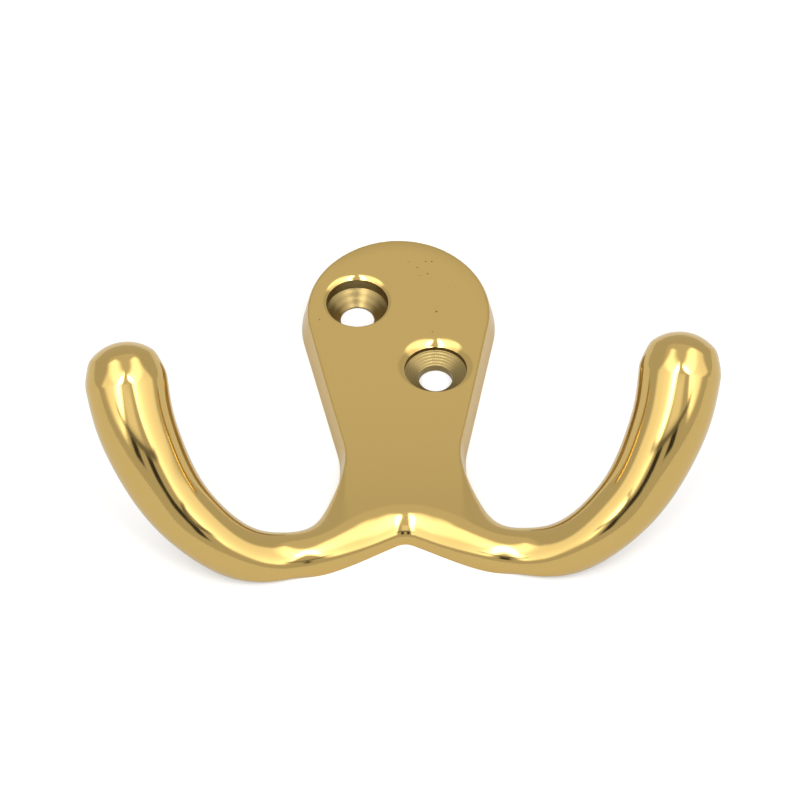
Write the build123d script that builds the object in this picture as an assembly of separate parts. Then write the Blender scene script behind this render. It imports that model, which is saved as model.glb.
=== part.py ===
from build123d import *
import os
from math import acos, asin, atan2, cos, degrees, hypot, radians, sin, sqrt, tan

# Double hat and coat hook, one polished brass casting, in millimetres.
# Frame: Z points up the wall, X to the right, and the back lies in the plane Y = 0,
# so the hook projects towards -Y. The origin is on the centreline at the mid-height
# of the two screw holes. "out" below is the distance from the wall, which is -Y.

# Back plate: a round head on a neck, with a drafted side wall and a dished front
head_radius = 14.3
head_height = 4.65
neck_half_width = 9.1
neck_height = -22.15
neck_round = 12.0
draft_angle = 12.0
rim_chamfer = 0.35
neck_thickness = 3.6
dish_height = -14.65
dish_radius = 345.0
blank_thickness = 6.5

# Throat between the neck and an arm, a quarter of an ellipse seen from the front
throat_half_width = 8.5
throat_depth = 13.25

# Wings, where the plate turns into the arms. They reach out from the neck's side, and the
# notch under the plate lies above the wing's lower corner. The arm's first section stands
# proud of the wing's end by the seam
wing_reach = 5.9
wing_width = 7.4
wing_lean = 10.0
wing_seam = 0.04
notch_rise = 5.9
notch_slope = 26.0
notch_radius = 2.5
under_edge_radius = 3.9
# most of the plate's thickness that the round under it may take
under_edge_share = 0.92

# Screw holes on a diagonal, each in a recess whose upper rim is buffed into a flare
bore_radius = 2.5
recess_radius = 4.6
recess_floor = 2.6
flare_round = 3.0
flare_entry = 8.0
# place (x, z), countersink angle, flare length and flare depth of each hole
holes = [(-6.05, 6.25, 95.0, 1.9, 1.5), (5.2, -6.25, 130.0, 3.4, 1.1)]

# Arms: places (x, z, out) that the centre line passes on its way to the ball, measured
# from the middle of the wing's end on the wall
arm_path = [
    (5.05, -1.0, 2.75),
    (12.55, -0.7, 6.3),
    (17.95, 2.35, 10.8),
    (21.45, 6.1, 16.25),
    (23.45, 9.85, 20.5),
    (24.3, 13.2, 23.55),
]
tip_direction = (0.16, 0.745, 0.645)
# control values of the half-width along the arm, from the wing to the ball
arm_half_widths = (3.74, 3.75, 5.35, 5.85)
# the ball tapers from its widest ring up to a crease, and a dome closes it
crown_radius = 4.8
crown_rise = 3.75
crown_taper = 19.0
dome_rise = 2.15
# shares of the arm's length at which its section is round, and at which it has no flat back
round_from = 0.45
backless_from = 0.3
# height of the outer and inner flank, then squareness of the four quarters, at the wing
wing_flank = -0.7
wing_squareness = (0, 0.92, 0.9, 0.3)
arm_rings = 10
# the ball is a hair smaller than the arm's last section, so their surfaces don't coincide
cap_step = 0.03

# how far a curved quarter's handles reach for it to follow a circle
circle_pull = 4 / 3 * (sqrt(2) - 1)


def point(x, z, out):
    """A point given by its place on the wall and its distance from the wall."""
    return Vector(x, -out, z)


def mirrored(edges):
    return [edge.mirror(Plane.YZ) for edge in edges]


def wing_end():
    """Inner and outer corner of the wing's end, and the direction in which the arm leaves."""
    rise = sqrt(1 - (1 - wing_reach / throat_half_width) ** 2)
    inner = (neck_half_width + wing_reach, neck_height - throat_depth * rise)
    lean = radians(wing_lean)
    outer = (inner[0] - wing_width * sin(lean), inner[1] - wing_width * cos(lean))
    return inner, outer, (cos(lean), -sin(lean))


def under_round():
    """Radius of the round under the plate, limited by the plate's thickness at the notch."""
    inner, outer, leave = wing_end()
    return min(under_edge_radius, under_edge_share * front_out(outer[1] + notch_rise))


def outline(inset, out):
    """Outline of the plate and its wings at a distance from the wall, drawn in by the draft.

    The side is a straight line that touches both the round head and the round of the neck."""
    inner, outer, leave = wing_end()
    drop = head_height - neck_height
    spread = neck_half_width + neck_round
    lean = atan2(drop, spread) - acos((head_radius + neck_round) / hypot(spread, drop))
    radius = head_radius - inset
    round_radius = neck_round + inset
    side = point(radius * cos(lean), head_height - radius * sin(lean), out)
    knee = point(spread - round_radius * cos(lean), neck_height + round_radius * sin(lean), out)
    neck = point(neck_half_width - inset, neck_height, out)
    wing = point(*inner, out)
    end = point(*outer, out)
    fall = throat_depth**2 * (throat_half_width - wing_reach)
    fall = fall / (throat_half_width**2 * (inner[1] - neck_height))
    throat = Spline(neck, wing, tangents=[(0, 0, -1), (1, 0, fall)])
    slope = radians(notch_slope)
    turn = notch_radius * sin(slope)
    notch = outer[1] + notch_rise
    low = point(turn, notch - notch_radius * (1 - cos(slope)), out)
    knee_arc = Spline(knee, neck, tangents=[(-sin(lean), 0, -cos(lean)), (0, 0, -1)])
    under = Spline(end, low, tangents=[(-leave[0], 0, -leave[1]), (-cos(slope), 0, sin(slope))])
    right = [Line(side, knee), knee_arc, throat, Line(wing, end), under]
    crotch = ThreePointArc(low, point(0, notch, out), point(-low.X, low.Z, out))
    head = ThreePointArc(side, point(0, head_height + radius, out), point(-side.X, side.Z, out))
    return Wire(right + mirrored(right) + [crotch, head])


def section(centre, across, up, half_width, half_thickness, shape):
    """Closed section of four curved quarters, from flat-backed at the wing to a circle.

    shape holds the height of the outer and of the inner flank, as shares of the
    half-thickness, then the squareness of the outer front, inner front, inner back and
    outer back quarters, from 0 for an ellipse to 1 for a square corner."""
    outer_flank, inner_flank, *squareness = shape
    near, far = 0.6 * circle_pull, 0.3 + 0.6 * circle_pull
    side_far = 0.7 + 0.3 * circle_pull
    round_quarter = [(0, 1), (near, 1), (far, side_far), (side_far, far), (1, near), (1, 0)]
    quarters = [(1, 1, outer_flank), (-1, 1, inner_flank), (-1, -1, inner_flank), (1, -1, outer_flank)]
    edges = []
    for (side, face, flank), square in zip(quarters, squareness):
        places = []
        for number, (u, v) in enumerate(round_quarter):
            inside = number in (1, 2, 3, 4)
            u += (1 - u) * square * inside
            v += (1 - v) * square * inside
            height = flank + v * (face - flank)
            places.append(centre + across * (half_width * side * u) + up * (half_thickness * height))
        if side * face < 0:
            places.reverse()
        edges.append(Bezier(*places))
    return Wire(edges)


def front_out(z):
    """Distance of the dished front from the wall at a height."""
    return neck_thickness + dish_radius - sqrt(dish_radius**2 - (z - dish_height) ** 2)


def make_plate():
    """Drafted blank, cut to the dish, with the under edge rounded and the face's rim broken."""
    inset = blank_thickness * tan(radians(draft_angle))
    blank = Solid.make_loft([outline(0, 0), outline(inset, blank_thickness)], ruled=True)
    reach = 2 * head_radius + neck_half_width + wing_reach
    axis = Plane(point(-reach, dish_height, neck_thickness + dish_radius), z_dir=(1, 0, 0))
    roller = Solid.make_cylinder(dish_radius, 2 * reach, axis)
    plate = (blank - roller).solid()
    front = max(plate.faces().filter_by(GeomType.CYLINDER), key=lambda face: face.area)
    inner, outer, leave = wing_end()
    under, rim = [], []
    for edge in front.outer_wire().edges():
        middle = edge @ 0.5
        if middle.Z > inner[1]:
            rim.append(edge)
        elif abs(middle.X) < outer[0]:
            under.append(edge)
    plate = plate.fillet(under_round(), under)
    return plate.chamfer(rim_chamfer, None, rim)


def ease(share):
    """Smooth step from 0 to 1, level at both ends."""
    share = min(max(share, 0), 1)
    return share * share * (3 - 2 * share)


def arm_half_width(share):
    """Half-width at a share of the arm's length, blended from the four control values."""
    rest = 1 - share
    weights = (rest**3, 3 * rest**2 * share, 3 * rest * share**2, share**3)
    return sum(weight * value for weight, value in zip(weights, arm_half_widths))


def make_ball():
    """Ball end, turned about its axis: round below, tapered above, closed by the dome."""
    radius = arm_half_widths[-1] - cap_step
    taper = radians(crown_taper)
    crease = (crown_radius, crown_rise)
    dome_radius = (crown_radius**2 + dome_rise**2) / (2 * dome_rise)
    spread = degrees(asin(crown_radius / dome_radius))
    side = Spline((radius, 0), crease, tangents=[(0, 1), (-sin(taper), cos(taper))])
    dome_centre = (0, crown_rise + dome_rise - dome_radius)
    dome = CenterArc(dome_centre, dome_radius, 90 - spread, spread)
    top, bottom = (0, crown_rise + dome_rise), (0, -radius)
    profile = [CenterArc((0, 0), radius, -90, 90), side, dome, Line(top, bottom)]
    return revolve(Plane.XZ * make_face(profile), Axis.Z)


def make_arm():
    """Loft from the wing's end through the sections, closed by the ball end."""
    inner, outer, leave = wing_end()
    middle = ((inner[0] + outer[0]) / 2, (inner[1] + outer[1]) / 2)
    wing_half_thickness = (front_out(middle[1]) + wing_seam) / 2
    wing_shape = (1 - under_round() / wing_half_thickness, wing_flank, *wing_squareness)
    centres = [point(*middle, wing_half_thickness)]
    centres += [point(*middle, 0) + point(*place) for place in arm_path]
    path = Spline(*centres, tangents=[(leave[0], 0, leave[1]), point(*tip_direction)])
    flatness = 1 - wing_half_thickness / arm_half_width(0)
    wires = []
    for ring in range(arm_rings + 1):
        share = ring / arm_rings
        half_width = arm_half_width(share)
        half_thickness = half_width * (1 - flatness * (1 - ease(share / round_from)))
        shape = [value * (1 - ease(share / backless_from)) for value in wing_shape]
        centre = path @ share
        along = path % share
        out = Vector(0, -1, 0)
        up = (out - along * out.dot(along)).normalized()
        across = along.cross(up).normalized()
        wires.append(section(centre, across, up, half_width, half_thickness, shape))
    return Solid.make_loft(wires) + Plane(centre, z_dir=along) * make_ball()


def make_hole(x, z, sink_angle):
    """Cutter for one screw hole: bore, countersink and flat-walled recess."""
    sink_depth = (recess_radius - bore_radius) / tan(radians(sink_angle / 2))
    profile = Polyline(
        (0, -1),
        (bore_radius, -1),
        (bore_radius, recess_floor - sink_depth),
        (recess_radius, recess_floor),
        (recess_radius, blank_thickness),
        (0, blank_thickness),
        close=True,
    )
    drill = revolve(Plane.XZ * make_face(profile), Axis.Z)
    return Plane(point(x, z, 0), x_dir=(1, 0, 0), z_dir=(0, -1, 0)) * drill


def make_flare(x, z, length, depth):
    """Cutter that buffs the upper rim of a recess into a rounded lip.

    Its circle meets the rim level with the hole's centre and stands off it by the length
    of the flare at the top. The lip is an arc that leaves the dished front at the entry
    angle and ends on a flat floor."""
    reach = recess_radius + length
    offset = (reach**2 - recess_radius**2) / (2 * reach)
    radius = reach - offset
    middle = z + offset
    entry = radians(flare_entry)
    arc_x = radius + flare_round * sin(entry)
    arc_y = -flare_round * cos(entry)
    foot = degrees(asin((-depth - arc_y) / flare_round))
    lip = CenterArc((arc_x, arc_y), flare_round, 90 + flare_entry, 90 - flare_entry - foot)
    top = flare_round
    corners = [lip @ 1, (0, -depth), (0, top), (radius, top), lip @ 0]
    bowl = revolve(Plane.XZ * make_face([lip, Polyline(*corners)]), Axis.Z)
    lean = asin((middle - dish_height) / dish_radius)
    place = Plane(
        point(x, middle, front_out(middle)), x_dir=(1, 0, 0), z_dir=(0, -cos(lean), -sin(lean))
    )
    return place * bowl


hook = make_plate()
arm = make_arm()
hook = hook + arm + arm.mirror(Plane.YZ)
for x, z, sink_angle, flare_length, flare_depth in holes:
    hook = hook - make_hole(x, z, sink_angle) - make_flare(x, z, flare_length, flare_depth)
os.makedirs("parts", exist_ok=True)
export_step(hook.solid(), "parts/double_hook.step")
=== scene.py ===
# %% [markdown]
# A double hat and coat hook in polished brass, as it comes from its maker: one casting, with a
# dished back plate on the wall and two arms that sweep out and up to a ball end each.
# The lesson loads the model as a fixed frame, works out a fine surface for the casting, cuts the
# screw recesses, gives each surface its finish, and lights the hook as a studio would.

# %% Load the frame
import bmesh
import bpy
import numpy as np
from mathutils import Matrix


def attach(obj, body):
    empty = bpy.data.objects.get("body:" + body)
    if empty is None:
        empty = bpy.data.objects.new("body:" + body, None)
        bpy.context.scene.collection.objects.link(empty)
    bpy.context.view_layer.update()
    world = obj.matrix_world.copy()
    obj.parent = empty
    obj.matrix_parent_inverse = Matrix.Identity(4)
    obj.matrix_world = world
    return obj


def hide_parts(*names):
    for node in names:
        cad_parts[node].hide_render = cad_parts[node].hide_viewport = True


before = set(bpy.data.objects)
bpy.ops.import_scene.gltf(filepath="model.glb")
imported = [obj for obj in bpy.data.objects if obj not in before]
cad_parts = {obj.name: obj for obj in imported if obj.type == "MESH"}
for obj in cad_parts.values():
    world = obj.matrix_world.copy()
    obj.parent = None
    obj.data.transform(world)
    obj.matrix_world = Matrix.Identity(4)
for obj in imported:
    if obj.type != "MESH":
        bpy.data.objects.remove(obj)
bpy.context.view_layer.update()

# %% [markdown]
# The casting has no seams: plate, arms and balls flow into each other. Separate surfaces would
# meet in creases there, and a polished metal shows every crease. So the whole casting is one
# field, a formula that gives the distance of any point from the metal's surface, negative inside.
# All its lengths are in millimetres, and "out" is the distance from the wall.

# %% Sizes of the plate
HEAD_RADIUS = 14.3
HEAD_HEIGHT = 4.65
NECK_HALF_WIDTH = 9.1
NECK_HEIGHT = -22.15
NECK_ROUND = 12.0
DRAFT = np.tan(np.radians(12.0))
NECK_THICKNESS = 3.6
DISH_HEIGHT = -14.65
DISH_RADIUS = 345.0
THROAT_HALF_WIDTH = 8.5
THROAT_DEPTH = 13.25
WING_REACH = 5.9
WING_WIDTH = 7.2
WING_LEAN = np.radians(10.0)
NOTCH_RISE = 5.7
NOTCH_SLOPE = np.radians(26.0)
NOTCH_RADIUS = 2.5
WING_RUN = 9.0


def arc(centre, radii, start, end, count=40):
    """Points on an arc: centre + radii * (cos, sin) of an angle that runs from start to end."""
    turn = np.radians(np.linspace(start, end, count))[:, None]
    return np.asarray(centre) + np.asarray(radii) * np.hstack((np.cos(turn), np.sin(turn)))


def bend(start, end, leave, arrive, count=40):
    """Cubic from start to end that leaves and arrives in given directions, as long as its chord."""
    share = np.linspace(0, 1, count)[:, None]
    start, end = np.asarray(start), np.asarray(end)
    chord = np.linalg.norm(end - start)
    return (
        (2 * share**3 - 3 * share**2 + 1) * start
        + (3 * share**2 - 2 * share**3) * end
        + (share**3 - 2 * share**2 + share) * chord * np.asarray(leave)
        + (share**3 - share**2) * chord * np.asarray(arrive)
    )


def half_outline():
    """Right half of the plate's outline on the wall, from the top of the head to the notch.

    The side is the straight line that touches the head's circle and the round of the neck, the
    throat is a quarter of an ellipse, and the wing runs on to the right, inside the arm."""
    spread, drop = NECK_HALF_WIDTH + NECK_ROUND, HEAD_HEIGHT - NECK_HEIGHT
    lean = np.arctan2(drop, spread)
    lean -= np.arccos((HEAD_RADIUS + NECK_ROUND) / np.hypot(spread, drop))
    lean = np.degrees(lean)
    head = arc((0, HEAD_HEIGHT), (HEAD_RADIUS, HEAD_RADIUS), 90, -lean, 120)
    neck = arc((spread, NECK_HEIGHT), (NECK_ROUND, NECK_ROUND), 180 - lean, 180)
    centre_x = NECK_HALF_WIDTH + THROAT_HALF_WIDTH
    throat = arc((centre_x, NECK_HEIGHT), (THROAT_HALF_WIDTH, THROAT_DEPTH), 180, 270, 90)
    rise = np.sqrt(1 - (1 - WING_REACH / THROAT_HALF_WIDTH) ** 2)
    inner = np.array((NECK_HALF_WIDTH + WING_REACH, NECK_HEIGHT - THROAT_DEPTH * rise))
    outer = inner - WING_WIDTH * np.array((np.sin(WING_LEAN), np.cos(WING_LEAN)))
    leave = np.array((np.cos(WING_LEAN), -np.sin(WING_LEAN)))
    run = np.array((throat[-1] + (WING_RUN, 0), outer + WING_RUN * leave))
    turn = NOTCH_RADIUS * np.sin(NOTCH_SLOPE)
    top = outer[1] + NOTCH_RISE
    low = (turn, top - NOTCH_RADIUS * (1 - np.cos(NOTCH_SLOPE)))
    under = bend(outer, low, -leave, (-np.cos(NOTCH_SLOPE), np.sin(NOTCH_SLOPE)), 80)
    slope = np.degrees(NOTCH_SLOPE)
    radii = (NOTCH_RADIUS, NOTCH_RADIUS)
    notch = arc((0, top - NOTCH_RADIUS), radii, 90 - slope, 90, 12)
    return np.vstack((head, neck, throat, run, under, notch[1:])), (inner + outer) / 2, leave


OUTLINE, WING_MIDDLE, WING_LEAVE = half_outline()
print("outline points:", len(OUTLINE), "wing ends at", WING_MIDDLE.round(2))

# %% [markdown]
# The distance to the outline is worked out once, on a fine flat grid, and read back between the
# grid's points. It is measured to each straight piece of the outline, and a point is inside where
# a line from it crosses the closed outline an odd number of times.

# %% Distance to the outline
GRID = 0.1
GRID_X = np.arange(0, 27, GRID)
GRID_Z = np.arange(-48, 23, GRID)
GRID_END = 2.001


def outline_distance():
    """Signed distance of each point of the flat grid from the half outline, negative inside."""
    x, z = (side.ravel() for side in np.meshgrid(GRID_X, GRID_Z, indexing="ij"))
    nearest = np.full(x.shape, 1e9)
    closed = np.vstack((OUTLINE, (-1, OUTLINE[-1, 1]), (-1, OUTLINE[0, 1]), OUTLINE[:1]))
    odd = np.zeros(x.shape, bool)
    for number, (a, b) in enumerate(zip(closed[:-1], closed[1:])):
        along = b - a
        crossing = (a[1] > z) != (b[1] > z)
        if along[1]:
            odd ^= crossing & (x < a[0] + (z - a[1]) * along[0] / along[1])
        if number < len(OUTLINE) - 1 and along @ along > 0:
            share = ((x - a[0]) * along[0] + (z - a[1]) * along[1]) / (along @ along)
            share = share.clip(0, 1)
            away = np.hypot(x - a[0] - share * along[0], z - a[1] - share * along[1])
            nearest = np.minimum(nearest, away)
    return np.where(odd, -nearest, nearest).reshape(len(GRID_X), len(GRID_Z))


DISTANCE = outline_distance()


def outline_field(x, z):
    """Distance to the outline at any point: a mean of the four grid points around it.

    The nearer ones weigh more, and a point off the grid is read at the grid's end."""
    u = (np.abs(x) / GRID).clip(0, len(GRID_X) - GRID_END)
    v = ((z - GRID_Z[0]) / GRID).clip(0, len(GRID_Z) - GRID_END)
    i, j = u.astype(int), v.astype(int)
    u, v = u - i, v - j
    near = DISTANCE[i, j] * (1 - v) + DISTANCE[i, j + 1] * v
    far = DISTANCE[i + 1, j] * (1 - v) + DISTANCE[i + 1, j + 1] * v
    return near * (1 - u) + far * u


print("deepest point inside the outline:", DISTANCE.min().round(2), "mm")

# %% [markdown]
# The plate is the space inside the drafted outline and behind the dished front. Where the two
# meet, the real edge is only just eased along the neck, and it grows into the full round of the
# arms below. A rounded "and" of the two distances gives an edge of any radius. Buffing has also
# drawn the face down a little towards the head's rim, which shows as a soft darker band there.

# %% Field of the plate
RIM_ROUND = 0.3
DRAFT_FADE = 12.0
UNDER_ROUND = 3.6
UNDER_SOFTNESS = 0.65
UNDER_FROM = -24.0
UNDER_RUN = 12.0
CENTRE_TO = 13.0
CENTRE_RUN = 9.0
BUFFED_RUN = 4.0
BUFFED_DROP = 0.3
BUFFED_LEAN = 0.5
BUFFED_FROM = 2.0
BUFFED_FADE = 12.0


def ease(share):
    """Smooth step from 0 to 1, level at both ends."""
    share = np.clip(share, 0, 1)
    return share * share * (3 - 2 * share)


def rounded_and(a, b, radius):
    """Field of what is inside both a and b, with a round of the radius where they meet."""
    bulge = np.hypot(np.maximum(a + radius, 0), np.maximum(b + radius, 0))
    return np.minimum(np.maximum(a, b), -radius) + bulge


def front_out(z):
    """Distance of the dished front from the wall: a circle of the dish's radius."""
    return NECK_THICKNESS + DISH_RADIUS - np.sqrt(DISH_RADIUS**2 - (z - DISH_HEIGHT) ** 2)


def plate_field(x, out, z):
    """The plate: inside the outline drawn in by the draft, and behind the dished front.

    Near the head's rim the front falls away as the square of the distance into the buffed
    band. Under the neck the draft fades out and the round grows. Near the centre the side's
    distance is shrunk there, so that the round reaches further over the face than it goes down."""
    slope = DRAFT * (1 - ease((NECK_HEIGHT - z) / DRAFT_FADE))
    side = (outline_field(x, z) + out * slope) / np.hypot(1, slope)
    band = (1 + side / BUFFED_RUN).clip(0, 1.5) ** 2
    head = ease((z + BUFFED_LEAN * x - BUFFED_FROM) / BUFFED_FADE)
    front = out - front_out(z) + BUFFED_DROP * band * head
    low = ease((UNDER_FROM - z) / UNDER_RUN)
    centre = ease((CENTRE_TO - np.abs(x)) / CENTRE_RUN)
    shrunk = side * (1 - (1 - UNDER_SOFTNESS) * low * centre)
    return rounded_and(shrunk, front, RIM_ROUND + UNDER_ROUND * low)


middle = plate_field(np.zeros(1), np.zeros(1), np.array([HEAD_HEIGHT]))
print("plate field at the middle of the head's back:", middle[0].round(2), "mm")

# %% [markdown]
# Each screw recess has its upper rim buffed away into a rounded lip, which catches the two
# bright reflections in the photograph. Two circles bound the lip: the recess itself, and a wider
# one that touches it near the bottom. The metal starts to fall at the wide circle and leans most
# at the recess, as a mop leaves it, and what lies over the lip is taken away.

# %% Field of the buffed lips
BORE_RADIUS = 2.5
RECESS_RADIUS = 4.6
RECESS_FLOOR = 2.2
LIP_SLOPE = 0.88
# Each hole: x and z of its axis, angle of its cone, and how far the lip reaches over the recess.
HOLES = {"upper": (-6.05, 6.25, 95.0, 1.9), "lower": (5.2, -6.25, 130.0, 3.4)}


def lip_field(x, out, z, hole):
    """Height over the buffed lip, which falls from the dished front.

    With s the distance inside the wide circle and d the distance outside the recess, the fall
    is slope / 3 * s^3 / (s + d)^2: level at the wide circle, and leaning by the slope at the
    recess."""
    hole_x, hole_z, _, length = hole
    wide = RECESS_RADIUS + length / 2
    inward = (wide - np.hypot(x - hole_x, z - hole_z - length / 2)).clip(0)
    outward = (np.hypot(x - hole_x, z - hole_z) - RECESS_RADIUS).clip(0)
    fall = LIP_SLOPE / 3 * inward**3 / (inward + outward + 1e-9) ** 2
    return out - front_out(z) + fall


print("lips:", {name: hole[3] for name, hole in HOLES.items()}, "mm wider than their recesses")

# %% [markdown]
# An arm is a profile carried along a path. On the real hook it is one free sweep, up and out at
# once, so the path is a curve through the places that the arm's middle passes, read off at the
# bends. A curve of a single formula would follow it less closely.

# %% Path of an arm
# Each place: to the side of the wing's middle, out from the wall, and up from the wing's middle.
ARM_PLACES = (
    (5.05, 2.75, -1.0),
    (12.55, 6.3, -0.7),
    (17.95, 10.8, 2.35),
    (21.45, 16.25, 6.1),
    (23.45, 20.5, 9.85),
    (24.3, 23.55, 13.2),
)
TIP_DIRECTION = np.array((0.16, 0.645, 0.745)) / np.linalg.norm((0.16, 0.645, 0.745))
HALF_WIDTHS = (3.68, 3.75, 5.35, 5.81)
ROUND_FROM = 0.45
STATIONS = 150
LEAD_IN = 8.0
END_POINTS = 60
FIRST_POINT = 0.1
CROWN_RADIUS = 4.8
CROWN_RISE = 3.75
CROWN_TAPER = np.radians(19.0)
DOME_RISE = 2.15
DOME_RADIUS = (CROWN_RADIUS**2 + DOME_RISE**2) / (2 * DOME_RISE)


def arm_path():
    """Smooth cubic through the places, level with the wing at its start, at even stations.

    The slopes at the places solve the rule that the curve's bend is the same on both sides of
    each of them. Past the ball's centre the path runs on straight, through the crown."""
    start = (WING_MIDDLE[0], front_out(WING_MIDDLE[1]) / 2, WING_MIDDLE[1])
    foot = np.array((WING_MIDDLE[0], 0, WING_MIDDLE[1]))
    places = np.vstack((start, foot + ARM_PLACES))
    steps = np.linalg.norm(np.diff(places, axis=0), axis=1)
    count = len(places)
    matrix, right = np.eye(count), np.zeros((count, 3))
    right[0] = (WING_LEAVE[0], 0, WING_LEAVE[1])
    right[-1] = TIP_DIRECTION
    for i in range(1, count - 1):
        a, b = steps[i - 1], steps[i]
        matrix[i, i - 1 : i + 2] = b, 2 * (a + b), a
        right[i] = 3 * (b * (places[i] - places[i - 1]) / a + a * (places[i + 1] - places[i]) / b)
    slopes = np.linalg.solve(matrix, right)
    runs = [bend(places[i], places[i + 1], slopes[i], slopes[i + 1], 80) for i in range(count - 1)]
    before = np.linspace(LEAD_IN, FIRST_POINT, END_POINTS)[:, None]
    beyond = np.linspace(FIRST_POINT, 2 * CROWN_RISE, END_POINTS)[:, None]
    lead = places[0] - right[0] * before
    crown = places[-1] + right[-1] * beyond
    line = np.vstack([lead] + [run[:-1] for run in runs] + [runs[-1][-1:], crown])
    length = np.concatenate(([0], np.cumsum(np.linalg.norm(np.diff(line, axis=0), axis=1))))
    even = np.linspace(0, length[-1], STATIONS)
    centre = np.stack([np.interp(even, length, line[:, k]) for k in range(3)], axis=1)
    along = np.gradient(centre, axis=0)
    along /= np.linalg.norm(along, axis=1)[:, None]
    return centre, along, even[1], length[-1] - LEAD_IN - 2 * CROWN_RISE


PATH, ALONG, STEP, ARM_LENGTH = arm_path()
BALL = WING_MIDDLE[0] + ARM_PLACES[-1][0], ARM_PLACES[-1][1], WING_MIDDLE[1] + ARM_PLACES[-1][2]
FLATNESS = 1 - front_out(WING_MIDDLE[1]) / 2 / HALF_WIDTHS[0]
print("arm length:", ARM_LENGTH.round(1), "mm, a step every", STEP.round(3), "mm")

# %% [markdown]
# The arm's section starts flat-backed, as thick as the plate, and turns round and swells on its
# way to the ball. A swept mesh would have to be sewn to the plate, while a field only has to be
# measured: the distance to the nearest place on the path, less the half-width there. That place
# is found first among the stations, and then slid along the curve between them.

# %% Field of an arm
BACK_ROUND = 1.1
CREASE_ROUND = 0.22
LAST_STATION = STATIONS - 1.001
SLIDES = 4
ARM_CHUNK = 40000


def on_path(station):
    """Place and direction on the path at any station, by a cubic between its two neighbours."""
    low = station.clip(0, LAST_STATION).astype(int)
    t = (station - low)[:, None]
    a, b, leave, arrive = PATH[low], PATH[low + 1], ALONG[low] * STEP, ALONG[low + 1] * STEP
    place = a + (3 * t**2 - 2 * t**3) * (b - a)
    place += (t**3 - 2 * t**2 + t) * leave + (t**3 - t**2) * arrive
    along = (6 * t - 6 * t**2) * (b - a)
    along += (3 * t**2 - 4 * t + 1) * leave + (3 * t**2 - 2 * t) * arrive
    return place, along / np.linalg.norm(along, axis=1)[:, None]


def arm_half_width(run):
    """Half-width at a distance along the arm: a blend of four values, then the crown's taper."""
    share = (run / ARM_LENGTH).clip(0, 1)
    rest = 1 - share
    weights = (rest**3, 3 * rest**2 * share, 3 * rest * share**2, share**3)
    swell = sum(value * weight for value, weight in zip(HALF_WIDTHS, weights))
    height = ((run - ARM_LENGTH) / CROWN_RISE).clip(0, 2)
    fall = HALF_WIDTHS[-1] - CROWN_RADIUS
    slope = CROWN_RISE * np.tan(CROWN_TAPER)
    crown = np.where(
        height < 1,
        fall * (3 * height**2 - 2 * height**3) + slope * (height**3 - height**2),
        fall + slope * (height - 1),
    )
    return swell - crown


def arm_field(x, out, z):
    """The arm: a tube about the path with a flat back while it is thin, closed by the dome.

    The tube's circle lies lower than the path by its flatness, so that its top stays at the
    thickness of the wing, and the flat back cuts it off below."""
    result = np.empty(len(x))
    for part in np.array_split(np.arange(len(x)), len(x) // ARM_CHUNK + 1):
        spot = np.column_stack((np.abs(x[part]), out[part], z[part]))
        square = (PATH**2).sum(1) - 2 * spot @ PATH.T
        station = square.argmin(1).astype(float)
        for _ in range(SLIDES):
            centre, along = on_path(station)
            slide = ((spot - centre) * along).sum(1) / STEP
            station = (station + slide).clip(0, LAST_STATION)
        centre, along = on_path(station)
        run = station * STEP - LEAD_IN
        width = arm_half_width(run)
        round_share = ease(run / ARM_LENGTH / ROUND_FROM)
        flat = width * FLATNESS * (1 - round_share)
        up = (0, 1, 0) - along * along[:, 1:2]
        up /= np.linalg.norm(up, axis=1)[:, None]
        away = spot - centre
        height = (away * up).sum(1)
        reach = (away**2).sum(1) + 2 * height * flat + flat**2
        tube = np.sqrt(reach.clip(0)) - width
        tube = rounded_and(tube, -height - width + flat, BACK_ROUND * (1 - round_share))
        from_ball = spot - BALL
        above = from_ball @ TIP_DIRECTION
        dome_centre = from_ball - (CROWN_RISE + DOME_RISE - DOME_RADIUS) * TIP_DIRECTION
        dome = np.sqrt((dome_centre**2).sum(1)) - DOME_RADIUS
        capped = rounded_and(tube, dome, CREASE_ROUND)
        result[part] = np.where(above > 0, capped, tube)
    return result


print("flatness of the arm's root:", FLATNESS.round(2), "of its half-width")

# %% [markdown]
# On the casting the arm grows out of the plate without an edge. A rounded "or" of the two fields
# would leave a swelling where they overlap. So plate and arm are crossfaded along the wing: close
# to the crotch the field is the plate's, and further out it is the arm's. Both have nearly the
# same section there, so nothing shows.

# %% Field of the casting
FADE = (10.5, 19.5)
ARM_UNDER = -27.0


def casting_field(spot):
    """The whole casting at points (x, out, z), the same on the left and the right."""
    x, out, z = spot.T
    side = np.abs(x)
    result = plate_field(x, out, z)
    for hole in HOLES.values():
        result = np.maximum(result, lip_field(x, out, z, hole))
    low = (side > FADE[0]) & ((z < ARM_UNDER) | (side >= FADE[1]))
    arm = arm_field(x[low], out[low], z[low])
    share = ease((side[low] - FADE[0]) / (FADE[1] - FADE[0]))
    result[low] = result[low] * (1 - share) + arm * share
    return result


def casting_normal(spot, reach=0.02):
    """Slope of the field: its growth over small steps to both sides along the three axes."""
    steps = np.eye(3) * reach
    slope = [casting_field(spot + step) - casting_field(spot - step) for step in steps]
    return np.stack(slope, axis=1) / (2 * reach)


print("field at the middle of a ball:", casting_field(np.array((BALL,)))[0].round(2), "mm")

# %% [markdown]
# The surface is where the field is zero. A remesher could find it, but it would cost a modifier
# and give no say in where the points go. Here a net is laid over it: the space is cut into small
# cubes, each cube that the surface crosses gets one point at the middle of its crossings, and
# four neighbours make a face.

# %% Net over the surface
CELL = 0.27
BLOCK = 4
NEAR = 1.25
NET_CHUNK = 400000
LOW = np.array((-45.2, -1.4, -44.4))
HIGH = np.array((45.2, 31.6, 20.4))


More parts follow.
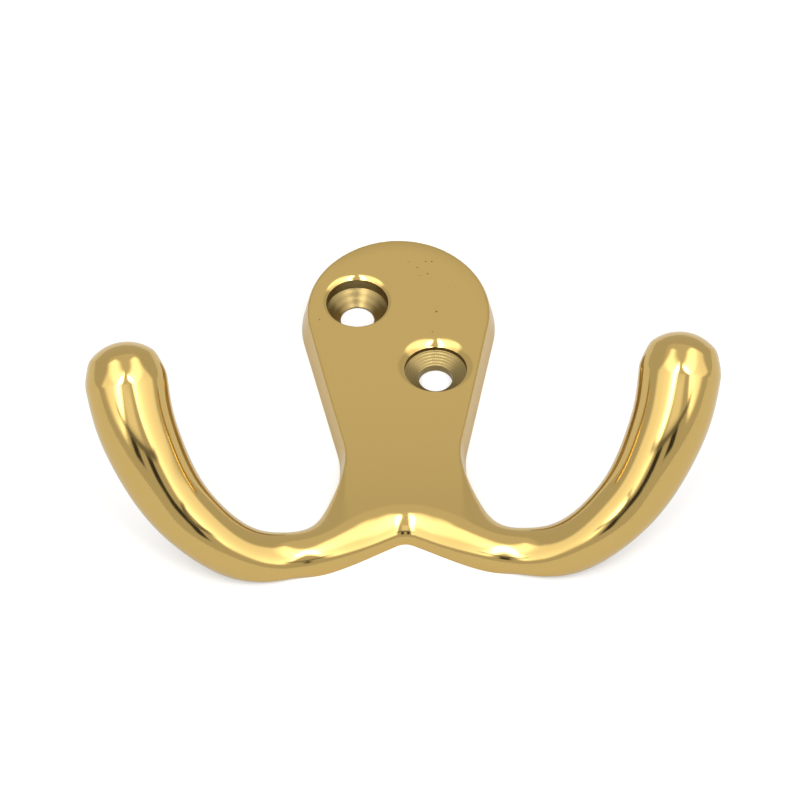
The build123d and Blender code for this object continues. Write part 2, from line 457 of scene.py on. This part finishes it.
def sampled():
    """The field on the fine grid: coarse everywhere, and exact near the surface."""
    blocks = np.ceil((HIGH - LOW) / (CELL * BLOCK)).astype(int) + 1
    corners = np.stack(np.meshgrid(*(np.arange(n) for n in blocks), indexing="ij"), axis=-1)
    spots = LOW + (corners.reshape(-1, 3) + 0.5) * CELL * BLOCK
    coarse = casting_field(spots).reshape(blocks)
    close = np.abs(coarse) < CELL * BLOCK * NEAR
    fine = coarse.astype(np.float32)
    for axis in range(3):
        fine = fine.repeat(BLOCK, axis)
        close = close.repeat(BLOCK, axis)
    places = np.argwhere(close)
    for part in np.array_split(places, len(places) // NET_CHUNK + 1):
        fine[tuple(part.T)] = casting_field(LOW + (part + 0.5) * CELL)
    return fine


def surface_net(values):
    """One point for each crossed cell, at the mean of its edges' crossings, and the faces."""
    inside = values < 0
    count = np.zeros([n - 1 for n in values.shape], np.uint8)
    offsets = np.array([(i, j, k) for i in (0, 1) for j in (0, 1) for k in (0, 1)])
    for i, j, k in offsets:
        count += inside[i : i + count.shape[0], j : j + count.shape[1], k : k + count.shape[2]]
    cells = np.argwhere((count > 0) & (count < 8))
    corners = cells[:, None] + offsets
    value = values[tuple(corners.transpose(2, 0, 1))]
    total, number = np.zeros((len(cells), 3)), np.zeros(len(cells))
    for first in range(8):
        for second in range(first + 1, 8):
            if np.abs(offsets[first] - offsets[second]).sum() != 1:
                continue
            a, b = value[:, first], value[:, second]
            crossed = (a < 0) != (b < 0)
            share = np.where(crossed, a / np.where(crossed, a - b, 1), 0)[:, None]
            place = offsets[first] + share * (offsets[second] - offsets[first])
            total += place * crossed[:, None]
            number += crossed
    points = LOW + (cells + total / number[:, None] + 0.5) * CELL
    index = np.full(count.shape, -1, np.int32)
    index[tuple(cells.T)] = np.arange(len(cells))
    faces = []
    size = np.array(values.shape)
    for axis in range(3):
        ahead, one, two = np.roll(np.eye(3, dtype=int), -axis, axis=0)
        here = inside[tuple(map(slice, 1 - ahead, size - 1))]
        there = inside[tuple(slice(1, stop) for stop in size - 1 + ahead)]
        crossed = np.argwhere(here != there)
        leaving = here[tuple(crossed.T)]
        base = crossed + (1 - ahead)
        quad = [index[tuple((base - shift).T)] for shift in (0 * one, one, one + two, two)]
        quad = np.stack(quad, axis=1)
        quad[~leaving] = quad[~leaving][:, ::-1]
        faces.append(quad)
    return points, np.vstack(faces)


points, faces = surface_net(sampled())
print("net:", len(points), "points,", len(faces), "faces")

# %% [markdown]
# The net's points lie close to the surface, but a polished metal would show what they are off as
# ripples. A smoothing modifier would also round the creases. So each point is moved onto the
# surface along the field's slope, by the field's value over the slope, a few times.

# %% Settle the net onto the surface
LEAST_SLOPE = 0.05


def settle(points, rounds=3):
    """Moves points by -field * slope / |slope|^2, never by more than a cell in one round."""
    for _ in range(rounds):
        slope = casting_normal(points)
        square = (slope**2).sum(1).clip(LEAST_SLOPE)
        step = (casting_field(points) / square)[:, None] * slope
        points = points - step.clip(-CELL, CELL)
    return points


points = settle(points)
print("field left over:", np.abs(casting_field(points)).max().round(4), "mm")

# %% [markdown]
# The settled net becomes a mesh. The back is taken as ground flat, with a sharp edge all round, and
# a net can't follow an edge that sharp. So the net runs on a little behind the wall, and one flat
# cut at the wall leaves a crisp back.

# %% Mesh of the casting
MM = 0.001


def place(points):
    """Points (x, out, z) in millimetres as (x, -out, z) in metres, the frame of the model."""
    return np.asarray(points) * (1, -1, 1) * MM


def mesh_object(name, vertices, quads):
    """A new object whose mesh has the given corners, put in as whole arrays."""
    mesh = bpy.data.meshes.new(name)
    mesh.from_pydata(vertices.tolist(), [], np.asarray(quads).tolist())
    piece = bpy.data.objects.new(name, mesh)
    bpy.context.scene.collection.objects.link(piece)
    return piece


casting = mesh_object("brass_casting", place(points), faces[:, ::-1])
shape = bmesh.new()
shape.from_mesh(casting.data)
whole = shape.verts[:] + shape.edges[:] + shape.faces[:]
bmesh.ops.bisect_plane(shape, geom=whole, plane_co=(0, 0, 0), plane_no=(0, 1, 0), clear_outer=True)
border = [edge for edge in shape.edges if edge.is_boundary]
bmesh.ops.triangle_fill(shape, edges=border, use_beauty=True, normal=(0, 1, 0))
bmesh.ops.recalc_face_normals(shape, faces=shape.faces)
shape.to_mesh(casting.data)
shape.free()
print("casting:", len(casting.data.polygons), "faces after the cut at the wall")

# %% [markdown]
# Each screw hole is a straight bore, a cone for the screw's head, and a low straight wall under
# the buffed lip. A drill and a countersink leave their edges sharp, and the net would blunt them.
# So the holes are cut as they are cut in a workshop, with turned tools: the hole's profile is spun
# about its axis, and a boolean takes that shape away.

# %% Turned tools for the holes
TURNS = 160
TOOL_POINT = 0.01
TOOL_LOW = -1.0
TOOL_HIGH = 8.0


def spun_tool(name, hole):
    """The hole's profile spun about its axis: every corner at radius * (cos, sin) of each angle."""
    hole_x, hole_z, sink_angle, _ = hole
    sink = (RECESS_RADIUS - BORE_RADIUS) / np.tan(np.radians(sink_angle / 2))
    profile = (
        (TOOL_POINT, TOOL_LOW),
        (BORE_RADIUS, TOOL_LOW),
        (BORE_RADIUS, RECESS_FLOOR - sink),
        (RECESS_RADIUS, RECESS_FLOOR),
        (RECESS_RADIUS, TOOL_HIGH),
        (TOOL_POINT, TOOL_HIGH),
    )
    radius, out = np.array(profile).T[..., None]
    turn = np.linspace(0, 2 * np.pi, TURNS, endpoint=False)
    x = hole_x + radius * np.cos(turn)
    z = hole_z + radius * np.sin(turn)
    vertices = np.stack((x, out + 0 * x, z), axis=-1).reshape(-1, 3)
    ring = np.arange(len(profile) - 1)[:, None] * TURNS
    here = np.arange(TURNS)
    after = (here + 1) % TURNS
    corners = (ring + here, ring + after, ring + TURNS + after, ring + TURNS + here)
    quads = np.stack(corners, axis=-1).reshape(-1, 4)
    tool = mesh_object(name, place(vertices), quads)
    cap = bmesh.new()
    cap.from_mesh(tool.data)
    bmesh.ops.holes_fill(cap, edges=[edge for edge in cap.edges if edge.is_boundary])
    bmesh.ops.recalc_face_normals(cap, faces=cap.faces)
    cap.to_mesh(tool.data)
    cap.free()
    return tool


def cut_away(piece, tool):
    """Takes the tool's space from the piece, keeps the tool's finish on the cut, and drops it."""
    cut = piece.modifiers.new("cut", "BOOLEAN")
    cut.operation, cut.solver, cut.object = "DIFFERENCE", "EXACT", tool
    cut.material_mode = "INDEX"
    cut_mesh = bpy.data.meshes.new_from_object(
        piece.evaluated_get(bpy.context.evaluated_depsgraph_get())
    )
    piece.modifiers.clear()
    old, piece.data = piece.data, cut_mesh
    bpy.data.meshes.remove(old)
    bpy.data.objects.remove(tool)


polished = bpy.data.materials.new("polished brass")
machined = bpy.data.materials.new("machined brass with painted shade")
for finish in (polished, machined):
    finish.use_nodes = True
    casting.data.materials.append(finish)
for name, hole in HOLES.items():
    tool = spun_tool(name + "_tool", hole)
    for finish in (polished, machined):
        tool.data.materials.append(finish)
    tool.data.polygons.foreach_set("material_index", np.ones(len(tool.data.polygons), int))
    cut_away(casting, tool)
casting.data.name = "brass_casting"
print("casting:", len(casting.data.polygons), "faces with its holes")

# %% [markdown]
# Polished metal shows the smallest error in how a surface faces. So each corner of the casting
# gets its facing from the field's slope itself, and each corner of a hole from its spun profile,
# and not from the average of the small faces around it.

# %% Facing of each corner
BACK_FACING = -0.999
AT_WALL = 0.02
ASTRAY = 0.5
RIM_REACH = 0.1


def read(items, field, width, kind=np.float32):
    """One property of all the items of a mesh as an array with a row for each item."""
    values = np.empty(len(items) * width, kind)
    items.foreach_get(field, values)
    return values.reshape(len(items), width) if width > 1 else values


def corner_facings(mesh):
    """Facing of every face corner: field slope, flat back, or spun profile of a hole.

    Where the slope leans from the face by more than 60 degrees, at an edge, the face's own
    facing is kept."""
    spots = read(mesh.vertices, "co", 3).astype(float) / MM * (1, -1, 1)
    slope = casting_normal(spots)
    slope /= np.linalg.norm(slope, axis=1)[:, None].clip(1e-6)
    vertex = read(mesh.loops, "vertex_index", 1, np.int32)
    sizes = read(mesh.polygons, "loop_total", 1, np.int32)
    owner = np.repeat(np.arange(len(sizes)), sizes)
    face = (read(mesh.polygons, "normal", 3) * (1, -1, 1))[owner]
    finish = read(mesh.polygons, "material_index", 1, np.int32)[owner]
    result = slope[vertex]
    corner = spots[vertex]
    flat = (face[:, 1] < BACK_FACING) & (np.abs(corner[:, 1]) < AT_WALL)
    result[flat] = face[flat]
    astray = (result * face).sum(1) < ASTRAY
    result[astray] = face[astray]
    for hole_x, hole_z, *_ in HOLES.values():
        away = corner[:, ::2] - (hole_x, hole_z)
        distance = np.hypot(*away.T)
        turned = (finish == 1) & (distance < RECESS_RADIUS + RIM_REACH)
        inward = -away / distance.clip(1e-6)[:, None]
        level = np.sqrt((1 - face[:, 1] ** 2).clip(0))
        spun = np.stack((inward[:, 0] * level, face[:, 1], inward[:, 1] * level), axis=1)
        result[turned] = spun[turned]
    return result * (1, -1, 1)


casting.data.shade_smooth()
casting.data.normals_split_custom_set(corner_facings(casting.data).tolist())
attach(casting, "root")
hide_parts("double_hook")
print("corners faced:", len(casting.data.loops))

# %% [markdown]
# The hook is brass throughout, and its finishes are worked out by shader nodes from the place on
# the hook. A painted picture could do the same, but it would blur close up and need unfolding. A
# node tree is arithmetic, so a few helpers place and join its nodes, and the finishes and the
# studio are then written as formulas.

# %% Helpers for shader nodes


def shader(material, **values):
    """The material's main shader with its plain values set on its own sockets."""
    main = material.node_tree.nodes["Principled BSDF"]
    for name, value in values.items():
        main.inputs[name.replace("_", " ")].default_value = value
    return main


def arithmetic(tree, operation, *inputs):
    """A Math node whose inputs are numbers or other nodes' outputs; gives its output."""
    node = tree.nodes.new("ShaderNodeMath")
    node.operation = operation
    for socket, value in zip(node.inputs, inputs):
        if hasattr(value, "links"):
            tree.links.new(value, socket)
        else:
            socket.default_value = value
    return node.outputs[0]


def rise(tree, value, low, high):
    """Smooth step: 0 where the value is at low, 1 where it is at high."""
    node = tree.nodes.new("ShaderNodeMapRange")
    node.interpolation_type = "SMOOTHSTEP"
    tree.links.new(value, node.inputs["Value"])
    node.inputs["From Min"].default_value = min(low, high)
    node.inputs["From Max"].default_value = max(low, high)
    node.inputs["To Min"].default_value = 0.0 if low < high else 1.0
    node.inputs["To Max"].default_value = 1.0 if low < high else 0.0
    return node.outputs["Result"]


def noise(tree, spot, scale, detail=2.0):
    """Cloudy noise at a place, about 0.5, with so many clouds to the metre."""
    node = tree.nodes.new("ShaderNodeTexNoise")
    node.inputs["Scale"].default_value = scale
    node.inputs["Detail"].default_value = detail
    tree.links.new(spot, node.inputs["Vector"])
    return node.outputs[0]


def distance_from(tree, parts, centre_x, centre_z):
    """Distance from an axis square to the wall, sqrt(dx^2 + dz^2), with the centre in mm."""
    across = arithmetic(tree, "SUBTRACT", parts.outputs[0], centre_x * MM)
    along = arithmetic(tree, "SUBTRACT", parts.outputs[2], centre_z * MM)
    square = arithmetic(tree, "MULTIPLY", across, across)
    return arithmetic(tree, "SQRT", arithmetic(tree, "MULTIPLY_ADD", along, along, square))


def bump(tree, main, height, depth):
    """Small relief from a height: depth in metres for a height of 1."""
    node = tree.nodes.new("ShaderNodeBump")
    node.inputs["Strength"].default_value = 1.0
    node.inputs["Distance"].default_value = depth
    tree.links.new(height, node.inputs["Height"])
    tree.links.new(node.outputs["Normal"], main.inputs["Normal"])


print("main shader's inputs:", len(shader(polished).inputs))

# %% [markdown]
# A polishing mop leaves a fine grain and a few drawn-out scratches, and small holes in the casting
# stay as brown pits. Both finishes carry these marks, so they are one node group, built once. The
# grain and the scratches are noise. Noise would put pits where they catch the eye, so the few pits
# have a list of their own: x, z and size in millimetres, as they are seen in the photograph.

# %% Marks that both finishes share
GRAIN_SCALE = 2600.0
GRAIN_HEIGHT = 0.3
SCRATCH_SCALE = 900.0
SCRATCH_TURN = np.radians(24)
SCRATCH_STRETCH = (6.0, 1.0, 0.12)
SCRATCH_SHARE = (0.66, 0.74)
SCRATCH_HEIGHT = -0.22
PIT_HEIGHT = -3.0
PIT_EDGE = (1.5, 0.6)
PIT_OUT = (1.5, 2.5)
BLOTCH_SCALE = 90.0
ROUGHNESS_LEAST = 0.06
ROUGHNESS_SPREAD = 0.06
PITS = (
    (5.6, 4.2, 0.13),
    (4.9, 0.5, 0.08),
    (-11.7, 3.1, 0.09),
    (1.7, 13.6, 0.07),
    (3.0, 12.5, 0.09),
    (4.3, 13.6, 0.1),
    (5.2, 13.6, 0.1),
    (3.4, 11.0, 0.07),
    (4.5, 11.3, 0.1),
    (8.6, 8.6, 0.06),
)


def wear_group():
    """Marks that both finishes share: mop grain, drawn-out scratches, and a few tiny pits.

    A pit is where the distance from one of the listed places, seen from the front, is small,
    and more than 2 mm out from the wall."""
    group = bpy.data.node_groups.new("mop marks", "ShaderNodeTree")
    for name in ("Height", "Roughness", "Pit"):
        group.interface.new_socket(name, in_out="OUTPUT", socket_type="NodeSocketFloat")
    spot = group.nodes.new("ShaderNodeTexCoord").outputs["Object"]
    drawn = group.nodes.new("ShaderNodeMapping")
    drawn.inputs["Rotation"].default_value = (0, SCRATCH_TURN, 0)
    drawn.inputs["Scale"].default_value = SCRATCH_STRETCH
    group.links.new(spot, drawn.inputs["Vector"])
    grain = noise(group, spot, GRAIN_SCALE)
    scratch = rise(group, noise(group, drawn.outputs[0], SCRATCH_SCALE), *SCRATCH_SHARE)
    parts = group.nodes.new("ShaderNodeSeparateXYZ")
    group.links.new(spot, parts.inputs[0])
    pit = None
    for pit_x, pit_z, size in PITS:
        away = distance_from(group, parts, pit_x, pit_z)
        dot = rise(group, away, size * PIT_EDGE[0] * MM, size * PIT_EDGE[1] * MM)
        pit = dot if pit is None else arithmetic(group, "MAXIMUM", pit, dot)
    outside = rise(group, parts.outputs[1], -PIT_OUT[0] * MM, -PIT_OUT[1] * MM)
    pit = arithmetic(group, "MULTIPLY", pit, outside)
    height = arithmetic(group, "MULTIPLY_ADD", grain, GRAIN_HEIGHT, 0.0)
    height = arithmetic(group, "MULTIPLY_ADD", scratch, SCRATCH_HEIGHT, height)
    height = arithmetic(group, "MULTIPLY_ADD", pit, PIT_HEIGHT, height)
    blotch = noise(group, spot, BLOTCH_SCALE)
    rough = arithmetic(group, "MULTIPLY_ADD", blotch, ROUGHNESS_SPREAD, ROUGHNESS_LEAST)
    result = group.nodes.new("NodeGroupOutput")
    group.links.new(height, result.inputs["Height"])
    group.links.new(rough, result.inputs["Roughness"])
    group.links.new(pit, result.inputs["Pit"])
    return group


marks = wear_group()
print("marks put out:", [socket.name for socket in marks.interface.items_tree])

# %% [markdown]
# Most of the casting was polished on a mop, and mirrors the studio. A metal has no colour of its
# own beneath the reflections, it only tints them. So the brass gets a full Metallic, its tint as
# the base colour, and a low roughness that wanders a little. The pits are browner, and the marks'
# relief softens the reflections.

# %% Polished brass
BRASS = (0.61, 0.425, 0.145, 1)
PIT_BROWN = (0.16, 0.1, 0.03, 1)
RELIEF = 0.0000045


def finish_polished(material, marks):
    """Mirror-like brass: the shared marks give its roughness, its pits and its relief."""
    tree = material.node_tree
    main = shader(material, Metallic=1.0)
    wear = tree.nodes.new("ShaderNodeGroup")
    wear.node_tree = marks
    tree.links.new(wear.outputs["Roughness"], main.inputs["Roughness"])
    stain = tree.nodes.new("ShaderNodeMix")
    stain.data_type = "RGBA"
    tree.links.new(wear.outputs["Pit"], stain.inputs["Factor"])
    inputs = [socket for socket in stain.inputs if socket.type == "RGBA"]
    inputs[0].default_value, inputs[1].default_value = BRASS, PIT_BROWN
    colour = [socket for socket in stain.outputs if socket.type == "RGBA"][0]
    tree.links.new(colour, main.inputs["Base Color"])
    bump(tree, main, wear.outputs["Height"], RELIEF)


finish_polished(polished, marks)
print("polished brass:", len(polished.node_tree.nodes), "nodes")

# %% [markdown]
# Where the drill and the countersink went, fine rings are left, about one for each turn of the
# tool. They spread the light, so the same metal looks softer there. Its base colour is also made
# much darker than the polished brass, as painted shade for the inside of the recesses. Rings cut
# into the mesh would need faces finer than the rings. A wave of the distance from the hole's axis
# costs nothing, and noise makes it uneven.

# %% Turned brass, with painted shade
# Base colour far darker than the polished brass: painted shade inside the screw recesses.
TURNED_BRASS_PAINTED_SHADE = (0.27, 0.2, 0.08, 1)
TURNED_ROUGHNESS = 0.33
TURNED_RELIEF = 0.000012
RING_PITCH = 0.00028
RING_LEAN = 0.7
UNEVEN_SCALE = 700.0


def finish_machined_painted_shade(material, marks):
    """Turned brass, darkened as painted shade of the recesses: rings sin(2 pi (r + lean * y) /
    pitch), with r from the nearer hole.
    """
    tree = material.node_tree
    main = shader(material, Base_Color=TURNED_BRASS_PAINTED_SHADE, Metallic=1.0, Roughness=TURNED_ROUGHNESS)
    wear = tree.nodes.new("ShaderNodeGroup")
    wear.node_tree = marks
    parts = tree.nodes.new("ShaderNodeSeparateXYZ")
    spot = tree.nodes.new("ShaderNodeTexCoord").outputs["Object"]
    tree.links.new(spot, parts.inputs[0])
    radii = [distance_from(tree, parts, hole[0], hole[1]) for hole in HOLES.values()]
    radius = arithmetic(tree, "MINIMUM", *radii)
    run = arithmetic(tree, "MULTIPLY_ADD", parts.outputs[1], RING_LEAN, radius)
    ring = arithmetic(tree, "SINE", arithmetic(tree, "MULTIPLY", run, 2 * np.pi / RING_PITCH))
    uneven = noise(tree, spot, UNEVEN_SCALE)
    height = arithmetic(tree, "MULTIPLY", ring, uneven)
    height = arithmetic(tree, "ADD", height, wear.outputs["Height"])
    bump(tree, main, height, TURNED_RELIEF)


finish_machined_painted_shade(machined, marks)
print("finishes:", [slot.name for slot in casting.data.materials])

# %% [markdown]
# The hook lies flat on a white table and the camera looks at it from its foot, 50 degrees above
# the table. A long lens keeps the arms in proportion. The frame has the wall upright, so the table
# of the photograph is the wall here, and the camera stands low in front of it.

# %% Camera
TILT = np.radians(50.0)
ROLL = np.radians(1.38)
AWAY = 0.624
AIM = np.array((-0.0001, 0, -0.00927))
SENSOR = 36
PICTURE = 800
PIXELS_PER_MM = 6.83
LENS = PIXELS_PER_MM * AWAY / MM * SENSOR / PICTURE


def place_camera():
    """Camera at AWAY from AIM, tilted up by TILT from below and rolled by ROLL."""
    level = np.array((np.sin(ROLL), 0, np.cos(ROLL)))
    inward = np.array((0, 1, 0))
    ahead = np.cos(TILT) * level + np.sin(TILT) * inward
    upward = np.sin(TILT) * level - np.cos(TILT) * inward
    right = np.cross(ahead, upward)
    camera = bpy.data.objects.new("camera", bpy.data.cameras.new("camera"))
    bpy.context.scene.collection.objects.link(camera)
    columns = np.column_stack((right, upward, -ahead, AIM - AWAY * ahead))
    camera.matrix_world = Matrix(columns.tolist() + [[0, 0, 0, 1]])
    camera.data.sensor_width = SENSOR
    camera.data.lens = LENS
    bpy.context.scene.camera = camera


place_camera()
print("lens", round(LENS, 1), "mm")

# %% [markdown]
# A polished thing is seen by what it mirrors, so the studio matters as much as the metal. It is
# written into the world by direction: how high over the table, and how far turned from the hook's
# head. There is a pale room, brighter overhead, and a large flat lamp at each side behind the
# camera. Each lamp is a rectangle, seen by projecting a direction on the lamp's plane. It is
# hotter along its edge towards the camera and at its middle height. A thin dark line and two dark
# patches low beside the camera are the gaps between the table and the lamps.

# %% Studio
# Each lamp: its turn, its height and its lean in degrees, half its width and half its height as
# slopes from its middle, and the side of its hot edge.
LAMPS = {
    "left": (-125.0, 47.0, -6.0, 0.47, 0.66, -1),
    "right": (111.0, 45.0, 10.0, 0.52, 0.62, 1),
}
ROOM = 0.7
OVERHEAD = 0.18
AHEAD = 0.6
LAMP = 0.9
ACROSS = 1.8
HOT_EDGE = 2.0
SOFT_EDGE = 0.12
GRAZING = 0.05
DIM = 0.85
CORE = 0.85
LINE = 0.75
DARKEST = -0.93
# Each patch: smooth steps in degrees, from where it is nothing to where it is full, first of the
# turn from the hook's head to either side, and then of the height over the table.
PATCHES = {
    "overhead": ((), ((40, 52),)),
    "ahead": (((160, 172),), ((27, 33), (50, 42))),
    "inner": (((138, 152),), ((22, 34),)),
    "core": ((), ((38, 58), (80, 64))),
    "beside": (((169, 161),), ()),
    "line": (((136, 144),), ((23, 25), (29, 27))),
    "gap": (((159, 163), (175, 171)), ((11, 14), (26, 23))),
}


def both(tree, *shares):
    """Product of several shares."""
    result = shares[0]
    for share in shares[1:]:
        result = arithmetic(tree, "MULTIPLY", result, share)
    return result


def component(tree, view, axis):
    """How far a direction goes along an axis: their dot product."""
    node = tree.nodes.new("ShaderNodeVectorMath")
    node.operation = "DOT_PRODUCT"
    tree.links.new(view, node.inputs[0])
    node.inputs[1].default_value = axis
    return node.outputs["Value"]


def lamp_share(tree, view, lamp):
    """Light of one lamp in a direction d: it grows as a cube across it, to its hot edge.

    With c the lamp's direction and a and b its sides' directions, the place on the lamp's
    plane is (d.a / d.c, d.b / d.c), and the lamp is where both are within its half-sizes."""
    turn, height, lean = np.radians(lamp[:3])
    half_width, half_height, hot_side = lamp[3:]
    level = np.array((np.cos(turn), 0, -np.sin(turn)))
    flat = np.array((np.sin(turn), 0, np.cos(turn)))
    outward = np.array((0, -1, 0))
    up = np.cos(height) * outward - np.sin(height) * flat
    centre = np.cos(height) * flat + np.sin(height) * outward
    facing = component(tree, view, centre)
    safe = arithmetic(tree, "MAXIMUM", facing, GRAZING)
    across = component(tree, view, np.cos(lean) * level + np.sin(lean) * up)
    across = arithmetic(tree, "DIVIDE", across, safe)
    along = component(tree, view, np.cos(lean) * up - np.sin(lean) * level)
    along = arithmetic(tree, "DIVIDE", along, safe)
    across_size = arithmetic(tree, "ABSOLUTE", across)
    along_size = arithmetic(tree, "ABSOLUTE", along)
    wide = rise(tree, across_size, half_width + SOFT_EDGE, half_width - SOFT_EDGE)
    tall = rise(tree, along_size, half_height + SOFT_EDGE, half_height - SOFT_EDGE)
    share = arithmetic(tree, "MULTIPLY_ADD", across, 0.5 * hot_side / half_width, 0.5)
    hot = arithmetic(tree, "POWER", arithmetic(tree, "MAXIMUM", share, 0.0), 3.0)
    light = arithmetic(tree, "MULTIPLY_ADD", hot, ACROSS, LAMP)
    return both(tree, light, wide, tall, rise(tree, facing, GRAZING, 2 * GRAZING))


def studio_world():
    """Surroundings by direction: the room, the lamps and the dark patches.

    The light is (room + lamps * (1 + hot edge)) * (1 - dark), but the camera sees plain white."""
    world = bpy.data.worlds.new("studio")
    bpy.context.scene.world = world
    world.use_nodes = True
    tree = world.node_tree
    view = tree.nodes.new("ShaderNodeTexCoord").outputs["Generated"]
    parts = tree.nodes.new("ShaderNodeSeparateXYZ")
    tree.links.new(view, parts.inputs[0])
    x, y, z = parts.outputs
    height = arithmetic(tree, "ARCSINE", arithmetic(tree, "MULTIPLY", y, -1.0))
    height = arithmetic(tree, "DEGREES", height)
    side = arithmetic(tree, "ARCTAN2", x, z)
    side = arithmetic(tree, "ABSOLUTE", arithmetic(tree, "DEGREES", side))
    share = {}
    for name, (side_steps, height_steps) in PATCHES.items():
        steps = [rise(tree, side, *step) for step in side_steps]
        steps += [rise(tree, height, *step) for step in height_steps]
        share[name] = both(tree, *steps)
    total = arithmetic(tree, "MULTIPLY_ADD", share["overhead"], OVERHEAD, ROOM)
    total = arithmetic(tree, "MULTIPLY_ADD", share["ahead"], AHEAD, total)
    core = arithmetic(tree, "MULTIPLY_ADD", share["core"], CORE, DIM)
    beside = both(tree, core, share["beside"])
    hot = arithmetic(tree, "MULTIPLY_ADD", share["inner"], HOT_EDGE, 1.0)
    for lamp in LAMPS.values():
        light = both(tree, lamp_share(tree, view, lamp), hot)
        total = arithmetic(tree, "MULTIPLY_ADD", light, beside, total)
    line = arithmetic(tree, "MULTIPLY", share["line"], LINE)
    dark = arithmetic(tree, "MAXIMUM", line, share["gap"])
    total = both(tree, total, arithmetic(tree, "MULTIPLY_ADD", dark, DARKEST, 1.0))
    path = tree.nodes.new("ShaderNodeLightPath")
    mix = tree.nodes.new("ShaderNodeMix")
    mix.data_type = "FLOAT"
    tree.links.new(path.outputs["Is Camera Ray"], mix.inputs["Factor"])
    tree.links.new(total, mix.inputs["A"])
    mix.inputs["B"].default_value = 1.0
    back = tree.nodes["Background"]
    tree.links.new(mix.outputs["Result"], back.inputs["Strength"])
    back.inputs["Color"].default_value = (1, 1, 1, 1)


studio_world()
print("lamps:", len(LAMPS))

# %% [markdown]
# The table is white, and to the camera a little brighter than to the metal, as a white sheet is
# when a photographer lifts it to a clean background. Seen from behind it is clear, so that the
# hook's back can be looked at. For the same reason it is open under the plate, out of sight, with
# a round patch behind each hole. The picture's Standard view keeps the photograph's plain whites.

# %% Table
TABLE = 2.0
TABLE_WHITE = 0.56
TABLE_GLARE = 0.3
BEHIND = -0.02
INSET = 0.25
OPEN_FROM = 0.1
OPEN_TO = 19.0
PATCH_RADIUS = 2.75
PATCH_CORNERS = 48


def opening():
    """The plate's outline moved inwards by the inset, along the slope of its distance field."""
    half = OUTLINE[OUTLINE[:, 0] <= OPEN_TO]
    x, z = half.T
    step = 2 * GRID
    slope = np.stack(
        (
            outline_field(x + step, z) - outline_field(x - step, z),
            outline_field(x, z + step) - outline_field(x, z - step),
        ),
        axis=1,
    )
    slope /= np.linalg.norm(slope, axis=1)[:, None].clip(1e-6)
    half = half - INSET * slope
    half = half[(half[:, 0] > OPEN_FROM) & (half[:, 0] < OPEN_TO)]
    return np.vstack((half, half[::-1] * (-1, 1)))


def sheet_corners(sheet, loop):
    """Corners of the sheet along a loop of (x, z) in millimetres, just behind the wall."""
    spots = place(np.insert(loop, 1, BEHIND, axis=1))
    return [sheet.verts.new(spot) for spot in spots]


def make_table():
    """A sheet just behind the hook's back: square with the opening in it, and the patches."""
    size = TABLE / 2 / MM
    square = np.array(((-size, -size), (size, -size), (size, size), (-size, size)))
    sheet = bmesh.new()
    for loop in (square, opening()):
        corners = sheet_corners(sheet, loop)
        for one, two in zip(corners, corners[1:] + corners[:1]):
            sheet.edges.new((one, two))
    bmesh.ops.triangle_fill(sheet, edges=sheet.edges[:], use_beauty=True, normal=(0, -1, 0))
    end = 360 - 360 / PATCH_CORNERS
    for hole_x, hole_z, _, _ in HOLES.values():
        loop = arc((hole_x, hole_z), (PATCH_RADIUS, PATCH_RADIUS), 0, end, PATCH_CORNERS)
        sheet.faces.new(sheet_corners(sheet, loop))
    sheet.normal_update()
    turned = [face for face in sheet.faces if face.normal.y > 0]
    bmesh.ops.reverse_faces(sheet, faces=turned)
    mesh = bpy.data.meshes.new("table")
    sheet.to_mesh(mesh)
    sheet.free()
    floor = bpy.data.objects.new("table", mesh)
    bpy.context.scene.collection.objects.link(floor)
    paint = bpy.data.materials.new("white table")
    paint.use_nodes = True
    tree = paint.node_tree
    white = (TABLE_WHITE, TABLE_WHITE, TABLE_WHITE, 1)
    main = shader(paint, Base_Color=white, Roughness=1.0, Specular_IOR_Level=0.0)
    main.inputs["Emission Color"].default_value = (1, 1, 1, 1)
    path = tree.nodes.new("ShaderNodeLightPath")
    glare = arithmetic(tree, "MULTIPLY", path.outputs["Is Camera Ray"], TABLE_GLARE)
    tree.links.new(glare, main.inputs["Emission Strength"])
    clear = tree.nodes.new("ShaderNodeBsdfTransparent")
    pick = tree.nodes.new("ShaderNodeMixShader")
    facing = tree.nodes.new("ShaderNodeNewGeometry")
    tree.links.new(facing.outputs["Backfacing"], pick.inputs[0])
    tree.links.new(main.outputs[0], pick.inputs[1])
    tree.links.new(clear.outputs[0], pick.inputs[2])
    tree.links.new(pick.outputs[0], tree.nodes["Material Output"].inputs["Surface"])
    floor.data.materials.append(paint)


make_table()
bpy.context.scene.view_settings.view_transform = "Standard"
